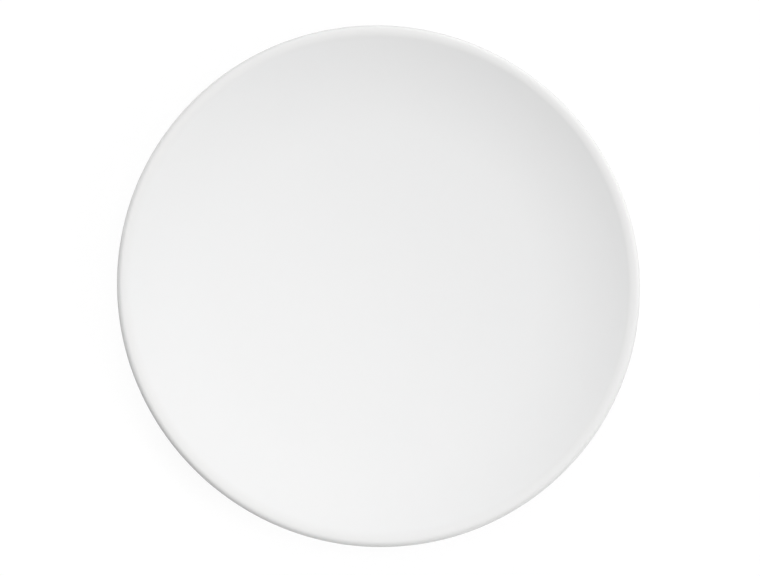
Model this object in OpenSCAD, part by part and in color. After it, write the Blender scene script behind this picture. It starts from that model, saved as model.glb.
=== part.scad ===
// Coupe plate: a pressed porcelain body with a foot ring, and the glaze that coats it.
// Millimetres, +Z up. The origin is on the plate's axis, at the level of the table.

/* [Plate] */
// Outside diameter of the glazed plate
plate_d = 260; // [220:1:320]
// Thickness of the glazed plate at its centre
base_t = 5; // [4:0.1:7]
// Thickness of the glazed plate where the wall starts to rise
wall_t = 5.6; // [4.6:0.1:7]

/* [Eating face] */
// Diameter of the well, the shallow middle of the face
well_d = 160; // [120:1:180]
// Radius of the well's shallow dish
well_r = 550; // [440:10:1200]
// Radius of the wall's upward sweep
wall_r = 150; // [120:1:220]

/* [Rim] */
// Radius of the soft shoulder where the face turns level
shoulder_r = 8.5; // [4:0.1:14]
// Radius of the rounded lip
lip_r = 2.6; // [1.6:0.1:3.2]

/* [Foot ring] */
// Outside diameter of the flat face that the plate stands on
foot_d = 150; // [120:1:176]
// Width of the flat standing face
foot_face_w = 2.4; // [1.4:0.1:4]
// Radius of the standing face's two edges
foot_edge_r = 0.8; // [0.4:0.1:1.1]
// Draft of the ring's two sides, in degrees
foot_draft = 12; // [4:1:24]
// Radius of the fillets between the ring and the plate
foot_fillet_r = 2; // [0.8:0.1:2.6]
// Gap between the table and the middle of the base
base_gap = 2; // [1.6:0.1:4]
// Radius of the base's bulge inside the ring, which about follows the well
base_r = 650; // [500:10:1500]

/* [Glaze] */
// Thickness of the fired glaze
glaze_t = 0.3; // [0.2:0.02:0.5]
// Height of the bare band on the ring's sides
bare_h = 1; // [0.8:0.1:2]
// Length over which the glaze thins out to its edge
glaze_taper = 0.3; // [0.1:0.1:0.8]

/* [Smoothness] */
// Straight stretches that the wall's sweep is made of
wall_steps = 20; // [12:1:40]
// Straight stretches that each small curve is made of
curve_steps = 10; // [6:1:20]

/* [Hidden] */

$fn = 180;
body_colour = [0.93, 0.92, 0.89];
glaze_colour = [0.96, 0.96, 0.95];

// Directions are in degrees in the section plane: 0 is down, 90 is away from the axis, 180 is up.
function toward(a) = [sin(a), -cos(a)];
function arc(centre, radius, from, to, steps, first = 0) =
    [for (i = [first : steps]) centre + radius * toward(from + (to - from) * i / steps)];
// An arc that goes on from the point already drawn, so it leaves out its own first point.
function arc_on(centre, radius, from, to, steps) = arc(centre, radius, from, to, steps, first = 1);

// Eating face: the well's dish runs into the wall's sweep at well_slope, and the sweep into the
// shoulder at rim_slope. Each centre lies on the line through the join, so no join shows an edge.
face_z = base_gap + base_t;
well_slope = asin(well_d / 2 / well_r);
well_centre = [0, face_z + well_r];
wall_centre = well_centre + (well_r - wall_r) * toward(well_slope);
rim_slope = asin((plate_d / 2 - lip_r - wall_centre.x) / (wall_r + shoulder_r));
shoulder_centre = wall_centre + (wall_r + shoulder_r) * toward(rim_slope);
lip_centre = shoulder_centre + (shoulder_r - lip_r) * toward(180);

// Back: one sweep that starts wall_t under the wall's start, in line with it, and ends along the lip.
back_start = wall_centre + (wall_r + wall_t) * toward(well_slope);
lip_from_start = lip_centre - back_start;
lip_rise = -lip_from_start * toward(well_slope);
back_r = (lip_from_start * lip_from_start - lip_r * lip_r) / (2 * (lip_rise - lip_r));
back_centre = back_start - back_r * toward(well_slope);
lip_from_back = lip_centre - back_centre;
back_slope = atan2(lip_from_back.x, -lip_from_back.y);

// Base inside the foot ring.
base_centre = [0, base_gap + base_r];

// Foot ring: each side leans by the draft from the standing face's rounded edge up to a fillet.
side_turn = 90 - foot_draft;
outer_edge = [foot_d / 2, foot_edge_r];
inner_edge = [foot_d / 2 - foot_face_w, foot_edge_r];

// Centre of the fillet between a side, whose outward direction is turn, and the round surface over it.
function fillet_centre(edge, turn, up, centre, radius) =
    let (
        start = edge + (foot_edge_r + glaze_t + foot_fillet_r) * toward(turn),
        gap = start - centre,
        reach = radius + foot_fillet_r,
        along = gap * toward(up)
    )
    start + (-along - sqrt(along * along - gap * gap + reach * reach)) * toward(up);

outer_up = 180 - foot_draft;
inner_up = 180 + foot_draft;
outer_fillet = fillet_centre(outer_edge, side_turn, outer_up, back_centre, back_r);
inner_fillet = fillet_centre(inner_edge, -side_turn, inner_up, base_centre, base_r);
outer_fillet_from_back = outer_fillet - back_centre;
inner_fillet_from_base = inner_fillet - base_centre;
outer_fillet_slope = atan2(outer_fillet_from_back.x, -outer_fillet_from_back.y);
inner_fillet_slope = atan2(inner_fillet_from_base.x, -inner_fillet_from_base.y);

// Where the glaze ends on a side: on the clay, and on the glaze's own surface a taper higher.
bare_along = (bare_h - foot_edge_r * (1 - sin(foot_draft))) / cos(foot_draft);
function clay_end(edge, turn, up) = edge + foot_edge_r * toward(turn) + bare_along * toward(up);
function skin_end(edge, turn, up) =
    edge + (foot_edge_r + glaze_t) * toward(turn) + (bare_along + glaze_taper) * toward(up);

// The plate's outline from the axis over the face, the lip and the back to the foot, at a depth
// under the glaze's surface.
function upper_outline(depth) = concat(
    arc(well_centre, well_r + depth, 0, well_slope, curve_steps),
    arc_on(wall_centre, wall_r + depth, well_slope, rim_slope, wall_steps),
    arc_on(shoulder_centre, shoulder_r - depth, 180 + rim_slope, 180, curve_steps),
    arc_on(lip_centre, lip_r - depth, 180, back_slope, 2 * curve_steps),
    arc_on(back_centre, back_r - depth, back_slope, outer_fillet_slope, wall_steps),
    arc_on(outer_fillet, foot_fillet_r + depth, 180 + outer_fillet_slope, 180 + side_turn, curve_steps)
);

// The outline from the foot's inner side along the base to the axis, at a depth under the glaze.
function base_outline(depth) = concat(
    arc(inner_fillet, foot_fillet_r + depth, 180 - side_turn, 180 + inner_fillet_slope, curve_steps),
    arc_on(base_centre, base_r - depth, inner_fillet_slope, 0, curve_steps)
);

function reversed(points) = [for (i = [len(points) - 1 : -1 : 0]) points[i]];

outer_clay_end = clay_end(outer_edge, side_turn, outer_up);
inner_clay_end = clay_end(inner_edge, -side_turn, inner_up);
outer_skin_end = skin_end(outer_edge, side_turn, outer_up);
inner_skin_end = skin_end(inner_edge, -side_turn, inner_up);

// Bare bottom of the foot ring, between the two glaze edges.
bare_foot = concat(
    [outer_clay_end],
    arc(outer_edge, foot_edge_r, side_turn, 0, curve_steps),
    arc(inner_edge, foot_edge_r, 0, -side_turn, curve_steps),
    [inner_clay_end]
);

module porcelain_body() {
    color(body_colour)
        rotate_extrude()
            polygon(concat(upper_outline(glaze_t), bare_foot, base_outline(glaze_t)));
}

module face_glaze() {
    color(glaze_colour)
        rotate_extrude()
            polygon(concat(
                upper_outline(0),
                [outer_skin_end, outer_clay_end],
                reversed(upper_outline(glaze_t))
            ));
}

module base_glaze() {
    color(glaze_colour)
        rotate_extrude()
            polygon(concat(
                [inner_skin_end],
                base_outline(0),
                reversed(base_outline(glaze_t)),
                [inner_clay_end]
            ));
}

porcelain_body();
face_glaze();
base_glaze();
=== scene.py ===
import math
import random

import bmesh
import bpy
from mathutils import Matrix, Vector


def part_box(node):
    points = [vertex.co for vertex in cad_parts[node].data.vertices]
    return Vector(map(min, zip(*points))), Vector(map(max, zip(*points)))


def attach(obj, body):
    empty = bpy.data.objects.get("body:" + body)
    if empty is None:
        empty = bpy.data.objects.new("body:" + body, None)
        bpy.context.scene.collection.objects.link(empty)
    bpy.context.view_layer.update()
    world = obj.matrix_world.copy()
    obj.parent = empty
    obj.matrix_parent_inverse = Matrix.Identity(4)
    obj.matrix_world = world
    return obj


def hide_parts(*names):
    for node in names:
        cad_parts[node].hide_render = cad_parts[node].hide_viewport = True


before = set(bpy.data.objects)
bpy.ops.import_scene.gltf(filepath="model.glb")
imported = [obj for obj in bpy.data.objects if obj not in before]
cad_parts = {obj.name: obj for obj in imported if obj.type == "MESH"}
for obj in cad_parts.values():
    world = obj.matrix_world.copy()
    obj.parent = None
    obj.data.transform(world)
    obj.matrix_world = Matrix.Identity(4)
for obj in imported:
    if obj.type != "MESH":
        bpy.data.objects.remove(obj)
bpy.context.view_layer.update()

MM = 0.001
UP = Vector((0, 0, 1))
WHITE = (1, 1, 1, 1)

# Sizes of the plate, the same as its solids have
PLATE_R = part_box("face_glaze")[1].x
BASE_T = 5 * MM
WALL_T = 5.6 * MM
WELL_EDGE_R = 80 * MM
WELL_R = 550 * MM
WALL_R = 150 * MM
SHOULDER_R = 8.5 * MM
LIP_R = 2.6 * MM
FOOT_R = 75 * MM
FOOT_FACE_W = 2.4 * MM
FOOT_EDGE_R = 0.8 * MM
FOOT_DRAFT = math.radians(12)
FOOT_FILLET_R = 2 * MM
BASE_GAP = 2 * MM
BASE_R = 650 * MM
GLAZE_T = 0.3 * MM
BARE_H = 1 * MM
GLAZE_TAPER = 0.3 * MM

# How the glaze's hand-wiped edge wanders up and down the foot
EDGE_WANDER = 0.16 * MM
EDGE_WAVES = (3, 5, 8, 13, 21)
EDGE_WAVE_SIZES = (0.4, 1)
OUTER_EDGE_SEED = 3
INNER_EDGE_SEED = 8

# How finely the meshes are cut: steps round the plate, on rounded edges, and on short to long arcs
SEGMENTS = 256
ROUND_STEPS = 8
SHORT_ARC = 8
MIDDLE_ARC = 12
LONG_ARC = 24

# The glaze's surface takes more of the arcs' steps, and the clay under it fewer
FINE = 2
COARSE = 0.5

# An edge that turns by more than this is shaded sharp
SHARP_ANGLE = math.radians(40)


# Section of the plate: points are (distance from the axis, height)

def toward(angle):
    """Unit step in the section plane: 0 is down, a quarter turn is away from the axis."""
    return Vector((math.sin(angle), -math.cos(angle)))


def arc(centre, radius, start, stop, steps):
    """Points along an arc."""
    return [centre + radius * toward(start + (stop - start) * i / steps) for i in range(steps + 1)]


def angle_of(step):
    """The direction of a step, counted as toward() counts it."""
    return math.atan2(step.x, -step.y)


def fillet_centre(edge, turn, up, centre, radius):
    """Centre of the fillet between a side of the foot and the round surface over it."""
    start = edge + (FOOT_EDGE_R + GLAZE_T + FOOT_FILLET_R) * toward(turn)
    gap = start - centre
    reach = radius + FOOT_FILLET_R
    along = gap.dot(toward(up))
    return start + (-along - math.sqrt(along ** 2 - gap.length_squared + reach ** 2)) * toward(up)


# The face, from the well to the lip: each centre follows from the arc before it
well_slope = math.asin(WELL_EDGE_R / WELL_R)
well_centre = Vector((0, BASE_GAP + BASE_T + WELL_R))
wall_centre = well_centre + (WELL_R - WALL_R) * toward(well_slope)
rim_slope = math.asin((PLATE_R - LIP_R - wall_centre.x) / (WALL_R + SHOULDER_R))
shoulder_centre = wall_centre + (WALL_R + SHOULDER_R) * toward(rim_slope)
lip_centre = shoulder_centre + Vector((0, SHOULDER_R - LIP_R))

# The back, which leaves the lip in line with it and runs out where the wall starts
back_start = wall_centre + (WALL_R + WALL_T) * toward(well_slope)
lip_from_start = lip_centre - back_start
lip_rise = -lip_from_start.dot(toward(well_slope))
back_r = (lip_from_start.length_squared - LIP_R ** 2) / (2 * (lip_rise - LIP_R))
back_centre = back_start - back_r * toward(well_slope)
back_slope = angle_of(lip_centre - back_centre)
base_centre = Vector((0, BASE_GAP + BASE_R))

# The foot: the sides face along side_turn and rise along outer_up and inner_up
side_turn = math.pi / 2 - FOOT_DRAFT
outer_edge = Vector((FOOT_R, FOOT_EDGE_R))
inner_edge = Vector((FOOT_R - FOOT_FACE_W, FOOT_EDGE_R))
outer_up = math.pi - FOOT_DRAFT
inner_up = math.pi + FOOT_DRAFT
outer_fillet = fillet_centre(outer_edge, side_turn, outer_up, back_centre, back_r)
inner_fillet = fillet_centre(inner_edge, -side_turn, inner_up, base_centre, BASE_R)
outer_fillet_slope = angle_of(outer_fillet - back_centre)
inner_fillet_slope = angle_of(inner_fillet - base_centre)


def joined(*arcs):
    """The arcs as one outline. Each starts where the last one ended, so that point is kept once."""
    points = list(arcs[0])
    for more in arcs[1:]:
        points.extend(more[1:])
    return points


def upper_outline(depth, detail):
    """From the axis over the face, the lip and the back to the foot, at a depth under the glaze."""
    short = round(SHORT_ARC * detail)
    middle = round(MIDDLE_ARC * detail)
    long = round(LONG_ARC * detail)
    fillet_start = math.pi + outer_fillet_slope
    return joined(
        arc(well_centre, WELL_R + depth, 0, well_slope, middle),
        arc(wall_centre, WALL_R + depth, well_slope, rim_slope, long),
        arc(shoulder_centre, SHOULDER_R - depth, math.pi + rim_slope, math.pi, short),
        arc(lip_centre, LIP_R - depth, math.pi, back_slope, middle),
        arc(back_centre, back_r - depth, back_slope, outer_fillet_slope, long),
        arc(outer_fillet, FOOT_FILLET_R + depth, fillet_start, math.pi + side_turn, short),
    )


def base_outline(depth, detail):
    """From the foot's inner side along the base to the axis, at a depth under the glaze."""
    short = round(SHORT_ARC * detail)
    long = round(LONG_ARC * detail)
    fillet_stop = math.pi + inner_fillet_slope
    return joined(
        arc(inner_fillet, FOOT_FILLET_R + depth, math.pi - side_turn, fillet_stop, short),
        arc(base_centre, BASE_R - depth, inner_fillet_slope, 0, long),
    )


def bare_along(height):
    """Distance up a side of the foot, from its rounded edge, to a height over the table."""
    return (height - FOOT_EDGE_R * (1 - math.sin(FOOT_DRAFT))) / math.cos(FOOT_DRAFT)


def on_side(edge, turn, up, offset, along):
    """A point on a side of the foot, offset outward from the clay."""
    return edge + (FOOT_EDGE_R + offset) * toward(turn) + along * toward(up)


def glaze_edge(edge, turn, up, height):
    """The rounded edge where the glaze ends on a side of the foot, from its surface to the clay."""
    start = bare_along(height)
    points = []
    for i in range(ROUND_STEPS + 1):
        round_off = math.pi / 2 * i / ROUND_STEPS
        offset = GLAZE_T * math.cos(round_off)
        points.append(on_side(edge, turn, up, offset, start + GLAZE_TAPER * (1 - math.sin(round_off))))
    return points


def wander(seed):
    """A smooth ring of small ups and downs, as a function of the angle round the foot."""
    rng = random.Random(seed)
    waves = [(n, rng.uniform(0, math.tau), rng.uniform(*EDGE_WAVE_SIZES)) for n in EDGE_WAVES]
    total = sum(size for _, _, size in waves)
    return lambda angle: EDGE_WANDER / total * sum(s * math.sin(n * angle + p) for n, p, s in waves)


outer_wander = wander(OUTER_EDGE_SEED)
inner_wander = wander(INNER_EDGE_SEED)


def porcelain_section(_angle):
    """The clay, from the axis over the face and round the foot to the base. It is the same all round."""
    return (
        upper_outline(GLAZE_T, COARSE)
        + arc(outer_edge, FOOT_EDGE_R, side_turn, 0, ROUND_STEPS)
        + arc(inner_edge, FOOT_EDGE_R, 0, -side_turn, ROUND_STEPS)
        + base_outline(GLAZE_T, COARSE)
    )


def face_glaze_section(angle):
    """The coat over the face and the back: out along its surface, and home along the clay."""
    height = BARE_H + outer_wander(angle)
    return (
        upper_outline(0, FINE)
        + glaze_edge(outer_edge, side_turn, outer_up, height)
        + upper_outline(GLAZE_T, COARSE)[::-1]
    )


def base_glaze_section(angle):
    """The coat under the base: out along its surface, and home along the clay."""
    height = BARE_H + inner_wander(angle)
    return (
        base_outline(0, FINE)[::-1]
        + glaze_edge(inner_edge, -side_turn, inner_up, height)
        + base_outline(GLAZE_T, COARSE)
    )


# Meshes

def lathe(name, section_at):
    """A closed mesh of revolution. section_at gives the outline at an angle, from axis to axis."""
    mesh = bpy.data.meshes.new(name)
    made = bmesh.new()
    rings = []
    for turn in range(SEGMENTS):
        angle = math.tau * turn / SEGMENTS
        section = section_at(angle)
        if not rings:
            first = made.verts.new(section[0].y * UP)
            last = made.verts.new(section[-1].y * UP)
        along = Vector((math.cos(angle), math.sin(angle), 0))
        rings.append([made.verts.new(p.x * along + p.y * UP) for p in section[1:-1]])
    for here, there in zip(rings, rings[1:] + rings[:1]):
        made.faces.new((first, here[0], there[0]))
        made.faces.new((last, there[-1], here[-1]))
        for a, b, c, d in zip(here, here[1:], there[1:], there):
            made.faces.new((a, b, c, d))
    bmesh.ops.recalc_face_normals(made, faces=made.faces)
    for face in made.faces:
        face.smooth = True
    made.to_mesh(mesh)
    made.free()
    mesh.set_sharp_from_angle(angle=SHARP_ANGLE)
    piece = bpy.data.objects.new(name, mesh)
    bpy.context.scene.collection.objects.link(piece)
    return piece


# Colours and texture of the glaze
GLAZE_WHITE = (0.842, 0.842, 0.84, 1)
GLAZE_COOL = (0.834, 0.837, 0.839, 1)
TONE_PERIOD = 45 * MM
TONE_DETAIL = 2

GLAZE_POOLED = (0.79, 0.805, 0.803, 1)
POOLED_SHARE = 0.6
POOLED_REACH = 2 * FOOT_FILLET_R
# Round the lip: warmer where the glaze is thinner, and darker as painted shade
GLAZE_THIN_AND_SHADED = (0.8, 0.797, 0.79, 1)
THIN_AND_SHADE_SHARE = 0.5
THIN_AND_SHADE_REACH = 2 * LIP_R

GLAZE_IOR = 1.5
GLAZE_ROUGHNESS = (0.08, 0.14)
GLOSS_PERIOD = 9 * MM
GLOSS_DETAIL = 3
GLOSS_NOISE = (0.3, 0.7)
WAVE_PERIOD = 24 * MM
WAVE_DEPTH = 0.02 * MM
PEEL_PERIOD = 2.4 * MM
PEEL_DEPTH = 0.003 * MM

# Rings that the tool left under the base
RING_PITCH = 1.4 * MM
RING_DEPTH = 0.002 * MM
RING_WOBBLE = 3.0
WOBBLE_PERIOD = 30 * MM

# Colours and texture of the bare clay
CLAY = (0.82, 0.8, 0.76, 1)
CLAY_GRAIN = (0.77, 0.75, 0.71, 1)
GRAIN_PERIOD = 0.5 * MM
GRAIN_DETAIL = 3
GRAIN_NOISE = (0.4, 0.75)
GRAIN_DEPTH = 0.03 * MM
CLAY_SCUFF = (0.7, 0.685, 0.66, 1)
SCUFF_PERIOD = 2.5 * MM
SCUFF_DETAIL = 5
SCUFF_NOISE = (0.45, 0.7)
SCUFF_HEIGHTS = (0.4 * MM, 0.05 * MM)
CLAY_ROUGHNESS = (0.6, 0.85)

# Specks: their colour, the share of their radius that has it in full, their spacing and their radius
SPECK = (0.3, 0.26, 0.22, 1)
SPECK_CORE = 0.5
GLAZE_SPECK_SPACING = 7 * MM
GLAZE_SPECK_R = 0.2 * MM
CLAY_SPECK_SPACING = 3 * MM
CLAY_SPECK_R = 0.14 * MM


# Shader nodes

def feed(tree, socket, value):
    """Link a socket to another one, or set it to a value."""
    if isinstance(value, bpy.types.NodeSocket):
        tree.links.new(value, socket)
    else:
        socket.default_value = value


def add_node(tree, kind, inputs=(), **settings):
    """A node with its settings, and with its inputs linked to a socket or set to a value."""
    node = tree.nodes.new("ShaderNode" + kind)
    for name, value in settings.items():
        setattr(node, name, value)
    for name, value in dict(inputs).items():
        feed(tree, node.inputs[name], value)
    return node


def maths(tree, operation, first, second=0.0):
    """One step of arithmetic, on one or two numbers."""
    return add_node(tree, "Math", {0: first, 1: second}, operation=operation).outputs[0]


def spread(tree, value, start, stop, low=0.0, high=1.0):
    """Goes smoothly from low to high as value goes from start to stop."""
    inputs = {"Value": value, "From Min": start, "From Max": stop, "To Min": low, "To Max": high}
    return add_node(tree, "MapRange", inputs, interpolation_type="SMOOTHSTEP").outputs["Result"]


def noise(tree, place, period, detail=1.0):
    """Soft noise around 0.5, with bumps about a period across."""
    inputs = {"Vector": place, "Scale": 1 / period, "Detail": detail}
    return add_node(tree, "TexNoise", inputs).outputs[0]


def specks(tree, place, spacing, radius):
    """Round specks, about one in each cube of the spacing, so a surface cuts only a few of them."""
    inputs = {"Vector": place, "Scale": 1 / spacing}
    distance = add_node(tree, "TexVoronoi", inputs).outputs["Distance"]
    return spread(tree, distance, radius / spacing, SPECK_CORE * radius / spacing)


def mixed(tree, share, low, high):
    """A colour that goes from low to high with share."""
    node = add_node(tree, "Mix", data_type="RGBA")
    sockets = {socket.identifier: socket for socket in node.inputs}
    feed(tree, sockets["Factor_Float"], share)
    feed(tree, sockets["A_Color"], low)
    feed(tree, sockets["B_Color"], high)
    return next(socket for socket in node.outputs if socket.identifier == "Result_Color")


def bumped(tree, height, depth, normal=None):
    """A normal with bumps over another normal. A step of 1 in height stands for depth."""
    inputs = {"Height": height, "Distance": depth, "Strength": 1.0}
    if normal is not None:
        inputs["Normal"] = normal
    return add_node(tree, "Bump", inputs).outputs["Normal"]


def radius_of(tree, place):
    """How far a point is from the plate's axis."""
    flat = add_node(tree, "VectorMath", {0: place, 1: (1, 1, 0)}, operation="MULTIPLY").outputs[0]
    return add_node(tree, "VectorMath", {0: flat}, operation="LENGTH").outputs["Value"]


def height_of(tree, place):
    """How high a point is over the table."""
    return add_node(tree, "SeparateXYZ", {0: place}).outputs["Z"]


def near(tree, place, centre, start, stop):
    """A share that falls from 1 to 0 between two distances from a centre in the plate's section."""
    sides = {"X": radius_of(tree, place), "Y": height_of(tree, place)}
    section = add_node(tree, "CombineXYZ", sides).outputs[0]
    inputs = {0: section, 1: (centre.x, centre.y, 0)}
    distance = add_node(tree, "VectorMath", inputs, operation="DISTANCE").outputs["Value"]
    return spread(tree, distance, stop, start)


# Materials

def new_material(name):
    """A material, with its nodes, its shader and the place of a point on the plate."""
    material = bpy.data.materials.new(name)
    material.use_nodes = True
    tree = material.node_tree
    place = add_node(tree, "TexCoord").outputs["Object"]
    return material, tree, tree.nodes["Principled BSDF"], place


def glaze_surface(tree, shader, place, tone):
    """What both coats share: the gloss, and an orange peel over slow waves, whose normal it gives."""
    feed(tree, shader.inputs["Base Color"], tone)
    patches = noise(tree, place, GLOSS_PERIOD, GLOSS_DETAIL)
    feed(tree, shader.inputs["Roughness"], spread(tree, patches, *GLOSS_NOISE, *GLAZE_ROUGHNESS))
    shader.inputs["IOR"].default_value = GLAZE_IOR
    waves = bumped(tree, noise(tree, place, WAVE_PERIOD), WAVE_DEPTH)
    return bumped(tree, noise(tree, place, PEEL_PERIOD), PEEL_DEPTH, waves)


def glaze_tone(tree, place, fillet):
    """White, faintly uneven, and cooler where the glaze has pooled in the fillet of the foot."""
    tone = mixed(tree, noise(tree, place, TONE_PERIOD, TONE_DETAIL), GLAZE_WHITE, GLAZE_COOL)
    pooled = near(tree, place, fillet, FOOT_FILLET_R, POOLED_REACH)
    return mixed(tree, maths(tree, "MULTIPLY", pooled, POOLED_SHARE), tone, GLAZE_POOLED)


def face_glaze_material():
    """The coat over the face and the back. Round the lip the glaze runs thinner and the clay warms it,
    and it is painted darker there as shade.
    """
    material, tree, shader, place = new_material("face_glaze")
    tone = glaze_tone(tree, place, outer_fillet)
    # Round the lip the tone is warmed by the thinner glaze and darkened as painted shade
    lip_thin_and_shaded = near(tree, place, lip_centre, LIP_R, THIN_AND_SHADE_REACH)
    tone = mixed(tree, maths(tree, "MULTIPLY", lip_thin_and_shaded, THIN_AND_SHADE_SHARE), tone, GLAZE_THIN_AND_SHADED)
    feed(tree, shader.inputs["Normal"], glaze_surface(tree, shader, place, tone))
    return material


def base_glaze_material():
    """The coat under the base, with the rings of the tool in the clay under it and a few specks."""
    material, tree, shader, place = new_material("base_glaze")
    tone = glaze_tone(tree, place, inner_fillet)
    tone = mixed(tree, specks(tree, place, GLAZE_SPECK_SPACING, GLAZE_SPECK_R), tone, SPECK)
    surface = glaze_surface(tree, shader, place, tone)
    turns = maths(tree, "DIVIDE", radius_of(tree, place), RING_PITCH)
    wobble = maths(tree, "MULTIPLY", noise(tree, place, WOBBLE_PERIOD), RING_WOBBLE)
    wave = maths(tree, "SINE", maths(tree, "MULTIPLY", maths(tree, "ADD", turns, wobble), math.tau))
    feed(tree, shader.inputs["Normal"], bumped(tree, wave, RING_DEPTH, surface))
    return material


def porcelain_material():
    """Bare clay: matt and grained, with scuffs on the face that it stands on."""
    material, tree, shader, place = new_material("bare_porcelain")
    grain = noise(tree, place, GRAIN_PERIOD, GRAIN_DETAIL)
    tone = mixed(tree, spread(tree, grain, *GRAIN_NOISE), CLAY, CLAY_GRAIN)
    worn = spread(tree, noise(tree, place, SCUFF_PERIOD, SCUFF_DETAIL), *SCUFF_NOISE)
    low = spread(tree, height_of(tree, place), *SCUFF_HEIGHTS)
    tone = mixed(tree, maths(tree, "MULTIPLY", worn, low), tone, CLAY_SCUFF)
    tone = mixed(tree, specks(tree, place, CLAY_SPECK_SPACING, CLAY_SPECK_R), tone, SPECK)
    feed(tree, shader.inputs["Base Color"], tone)
    feed(tree, shader.inputs["Roughness"], spread(tree, worn, 0.0, 1.0, *CLAY_ROUGHNESS))
    feed(tree, shader.inputs["Normal"], bumped(tree, grain, GRAIN_DEPTH))
    return material


# Pieces

def dress(name, section_at, node, material):
    """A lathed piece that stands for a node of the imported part."""
    piece = lathe(name, section_at)
    piece.data.materials.append(material)
    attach(piece, "root")
    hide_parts(node)


dress("bare_porcelain", porcelain_section, "porcelain_body", porcelain_material())
dress("glaze_of_face", face_glaze_section, "face_glaze", face_glaze_material())
dress("glaze_of_base", base_glaze_section, "base_glaze", base_glaze_material())


# Floor
FLOOR_SIZE = 12
FLOOR_DROP = 0.02 * MM
FLOOR_BOUNCE = (0.42, 0.42, 0.42, 1)
FLOOR_SHADOW = (0.16, 0.16, 0.16, 1)
FLOOR_GLOW = 0.86

# Light from all around: a level is how bright it makes a white sheet that faces it
SKY_LEVEL = 0.61
SKY_FOCUS = 5
KEY_FOCUS = 40
TOP_KEY_LEVEL = 0.41
TOP_KEY_AZIMUTH = math.radians(105)
TOP_KEY_ZENITH = math.radians(64)
RIGHT_KEY_LEVEL = 0.39
RIGHT_KEY_AZIMUTH = math.radians(335)
RIGHT_KEY_ZENITH = math.radians(56)

# Lamps: a low strip at the upper right, one just below the table for the lip there, and one underneath
LAMP_DISTANCE = 3
STRIP_LEVEL = 0.06
STRIP_AZIMUTH = math.radians(40)
STRIP_ZENITH = math.radians(80)
STRIP_W = 4
STRIP_H = 0.15
EDGE_LEVEL = 0.15
EDGE_AZIMUTH = math.radians(28)
EDGE_ZENITH = math.radians(93.5)
EDGE_W = 2
EDGE_H = 0.3
UNDER_LEVEL = 0.5
UNDER_DISTANCE = 2
UNDER_SIZE = 1

# Camera: the rim's radius and the axis's place in the picture, in its pixels, and where it is seen from
IMAGE_W = 760
IMAGE_H = 576
RIM_PX = 262.5
AXIS_PX = (380.4, 283.7)
CAMERA_DISTANCE = 1.5
CAMERA_AZIMUTH = math.radians(233)
CAMERA_TILT = math.radians(8.1)
PICTURE_UP = Vector((0, 1, 0))
SENSOR_W = 36


# Stage

def on_dome(azimuth, zenith):
    """Unit step from the plate to a place around it."""
    reach = math.sin(zenith)
    return Vector((reach * math.cos(azimuth), reach * math.sin(azimuth), math.cos(zenith)))


def seen_directly(tree, paths):
    """1 for what the camera sees, straight, in gloss or through glass, and 0 for light that bounces."""
    mirrored = maths(tree, "MAXIMUM", paths["Is Glossy Ray"], paths["Is Transmission Ray"])
    return maths(tree, "MAXIMUM", paths["Is Camera Ray"], mirrored)


def shader_switch(tree, share, low, high):
    """The shader low where share is 0, and high where it is 1."""
    return add_node(tree, "MixShader", {0: share, 1: low, 2: high}).outputs[0]


def floor_material():
    """White to the camera, with the plate's shadow left in, and mid grey to the light that bounces."""
    material = bpy.data.materials.new("studio_floor")
    material.use_nodes = True
    tree = material.node_tree
    tree.nodes.remove(tree.nodes["Principled BSDF"])
    paths = add_node(tree, "LightPath").outputs
    bounce = add_node(tree, "BsdfDiffuse", {"Color": FLOOR_BOUNCE}).outputs[0]
    shadow = add_node(tree, "BsdfDiffuse", {"Color": FLOOR_SHADOW}).outputs[0]
    glow = add_node(tree, "Emission", {"Strength": FLOOR_GLOW}).outputs[0]
    shown = add_node(tree, "AddShader", {0: shadow, 1: glow}).outputs[0]
    top = shader_switch(tree, seen_directly(tree, paths), bounce, shown)
    # Clear from underneath, so that the foot can be seen, and to the light of the lamps below it
    clear = add_node(tree, "BsdfTransparent").outputs[0]
    underneath = add_node(tree, "NewGeometry").outputs["Backfacing"]
    let_through = maths(tree, "MAXIMUM", underneath, paths["Is Shadow Ray"])
    result = shader_switch(tree, let_through, top, clear)
    feed(tree, tree.nodes["Material Output"].inputs["Surface"], result)
    return material


def make_floor():
    """One large square, just under the foot."""
    mesh = bpy.data.meshes.new("studio_floor")
    half = FLOOR_SIZE / 2
    corners = [(x * half, y * half, -FLOOR_DROP) for x, y in ((-1, -1), (1, -1), (1, 1), (-1, 1))]
    mesh.from_pydata(corners, [], [(0, 1, 2, 3)])
    mesh.materials.append(floor_material())
    floor = bpy.data.objects.new("studio_floor", mesh)
    bpy.context.scene.collection.objects.link(floor)


def lobe(tree, direction, towards, level, focus):
    """Light that comes mostly from one side. It lights a white sheet that faces it to level."""
    dot = add_node(tree, "VectorMath", {0: direction, 1: towards}, operation="DOT_PRODUCT")
    facing = maths(tree, "MAXIMUM", dot.outputs["Value"], 0.0)
    return maths(tree, "MULTIPLY", maths(tree, "POWER", facing, focus), level * (focus + 2) / 2)


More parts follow.
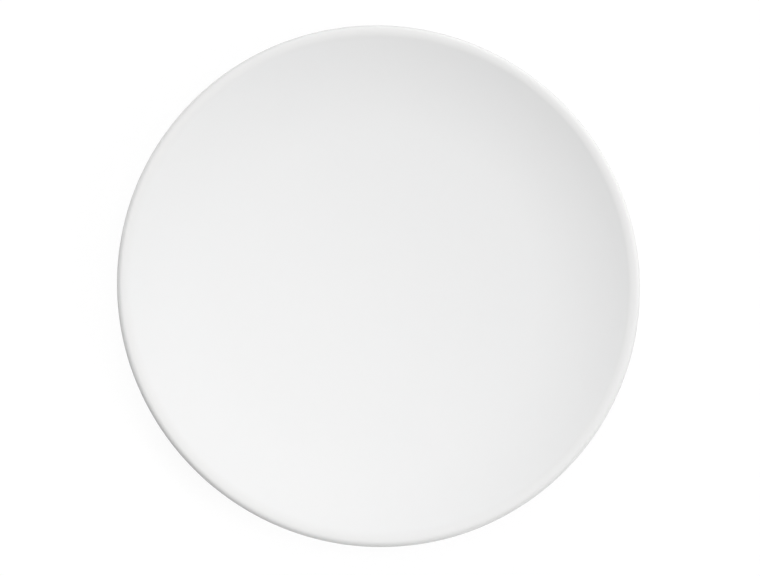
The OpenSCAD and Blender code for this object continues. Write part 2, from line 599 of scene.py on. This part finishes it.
def make_world():
    """A white tent, lit from overhead and by two wide keys, at the picture's top and right."""
    world = bpy.data.worlds.new("studio")
    world.use_nodes = True
    tree = world.node_tree
    direction = add_node(tree, "TexCoord").outputs["Generated"]
    top_key = on_dome(TOP_KEY_AZIMUTH, TOP_KEY_ZENITH)
    right_key = on_dome(RIGHT_KEY_AZIMUTH, RIGHT_KEY_ZENITH)
    sky = lobe(tree, direction, UP, SKY_LEVEL, SKY_FOCUS)
    top = lobe(tree, direction, top_key, TOP_KEY_LEVEL, KEY_FOCUS)
    right = lobe(tree, direction, right_key, RIGHT_KEY_LEVEL, KEY_FOCUS)
    light = maths(tree, "ADD", maths(tree, "ADD", sky, top), right)
    seen = seen_directly(tree, add_node(tree, "LightPath").outputs)
    background = tree.nodes["Background"]
    background.inputs["Color"].default_value = WHITE
    level = add_node(tree, "MapRange", {"Value": seen, "To Min": light, "To Max": 1.0})
    feed(tree, background.inputs["Strength"], level.outputs["Result"])
    bpy.context.scene.world = world


def make_lamp(name, level, place, width, height):
    """A soft lamp aimed at the plate. It lights a white sheet that faces it to level."""
    lamp = bpy.data.lights.new(name, "AREA")
    lamp.shape = "RECTANGLE"
    lamp.size = width
    lamp.size_y = height
    lamp.energy = level * math.pi ** 2 * place.length_squared
    holder = bpy.data.objects.new(name, lamp)
    holder.location = place
    holder.rotation_euler = (-place).to_track_quat("-Z", "Y").to_euler()
    holder.visible_camera = False
    bpy.context.scene.collection.objects.link(holder)


def make_camera():
    """Almost overhead, leaning towards the lower left of the picture, with +Y up in it."""
    data = bpy.data.cameras.new("camera")
    camera = bpy.data.objects.new("camera", data)
    bpy.context.scene.collection.objects.link(camera)
    back = on_dome(CAMERA_AZIMUTH, CAMERA_TILT)
    camera.location = lip_centre.y * UP + CAMERA_DISTANCE * back
    right = PICTURE_UP.cross(back).normalized()
    camera.rotation_euler = Matrix((right, back.cross(right), back)).transposed().to_euler()
    data.sensor_width = SENSOR_W
    data.lens = RIM_PX / IMAGE_W * SENSOR_W * CAMERA_DISTANCE / PLATE_R
    data.shift_x = (IMAGE_W / 2 - AXIS_PX[0]) / IMAGE_W
    data.shift_y = (AXIS_PX[1] - IMAGE_H / 2) / IMAGE_W
    bpy.context.scene.camera = camera


make_floor()
make_world()
make_lamp("strip", STRIP_LEVEL, LAMP_DISTANCE * on_dome(STRIP_AZIMUTH, STRIP_ZENITH), STRIP_W, STRIP_H)
make_lamp("edge", EDGE_LEVEL, LAMP_DISTANCE * on_dome(EDGE_AZIMUTH, EDGE_ZENITH), EDGE_W, EDGE_H)
make_lamp("under", UNDER_LEVEL, -UNDER_DISTANCE * UP, UNDER_SIZE, UNDER_SIZE)
make_camera()
bpy.context.scene.view_settings.view_transform = "Standard"
